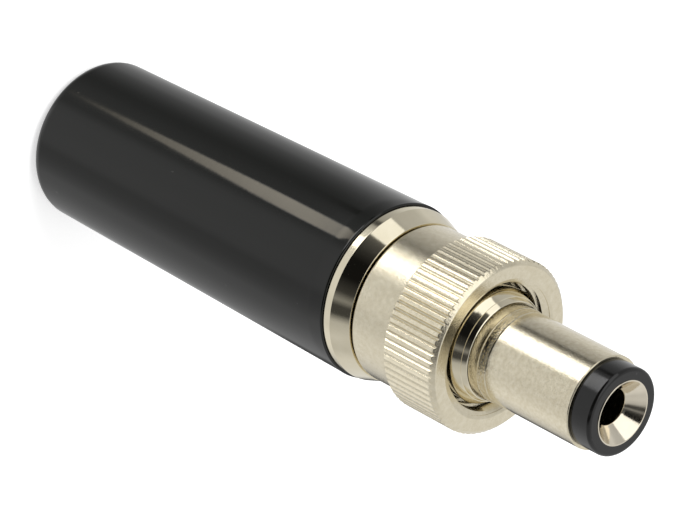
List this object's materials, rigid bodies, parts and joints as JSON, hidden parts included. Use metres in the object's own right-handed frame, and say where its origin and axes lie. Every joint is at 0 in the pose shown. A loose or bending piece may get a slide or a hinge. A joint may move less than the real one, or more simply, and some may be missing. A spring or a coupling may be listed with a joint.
{
  "type": "locking dc barrel plug",
  "caption": "Locking DC barrel plug: black screw-on cable cover, flanged metal body, captive knurled coupling nut and a black-tipped barrel round a hollow centre contact.",
  "frame": {"origin": "centre of the cover's rear face, on which the plug stands", "axes": "+Z along the plug's axis towards the tip; the centre solder lug's tongue lies on the +X side"},
  "size_m": [0.0106, 0.0106, 0.044],
  "materials": {
    "cover_plastic": "black moulded plastic, satin gloss",
    "body_plating": "bright nickel plate on turned brass",
    "barrel_plating": "satin nickel plate on turned brass",
    "nut_plating": "nickel plate on knurled brass",
    "contact_plating": "bright nickel plate on brass tube",
    "lug_plating": "tinned brass sheet",
    "insulator_plastic": "black moulded plastic",
    "washer_fibre": "brown fibre board",
    "spring_steel": "plain spring steel"
  },
  "bodies": {
    "plug": {"plug_body": "body_plating", "barrel_sleeve": "barrel_plating", "tip_insulator": "insulator_plastic", "centre_contact": "contact_plating", "rear_bush": "insulator_plastic", "ground_lug": "lug_plating", "insulating_washer": "washer_fibre", "centre_lug": "lug_plating"},
    "nut_ring": {"retaining_ring": "spring_steel"},
    "nut": {"coupling_nut": "nut_plating"},
    "cover": {"handle_cover": "cover_plastic"}
  },
  "joints": [
    {"name": "nut_slide", "type": "slide", "parent": "plug", "child": "nut_ring", "axis": [0, 0, 1], "range_m": [0, 0.00385]},
    {"name": "nut_spin", "type": "hinge", "parent": "nut_ring", "child": "nut", "pos_m": [0, 0, 0.0289], "axis": [0, 0, 1], "continuous": true},
    {"name": "cover_slide", "type": "slide", "parent": "plug", "child": "cover", "axis": [0, 0, -1], "range_m": [0, 0.022]}
  ]
}
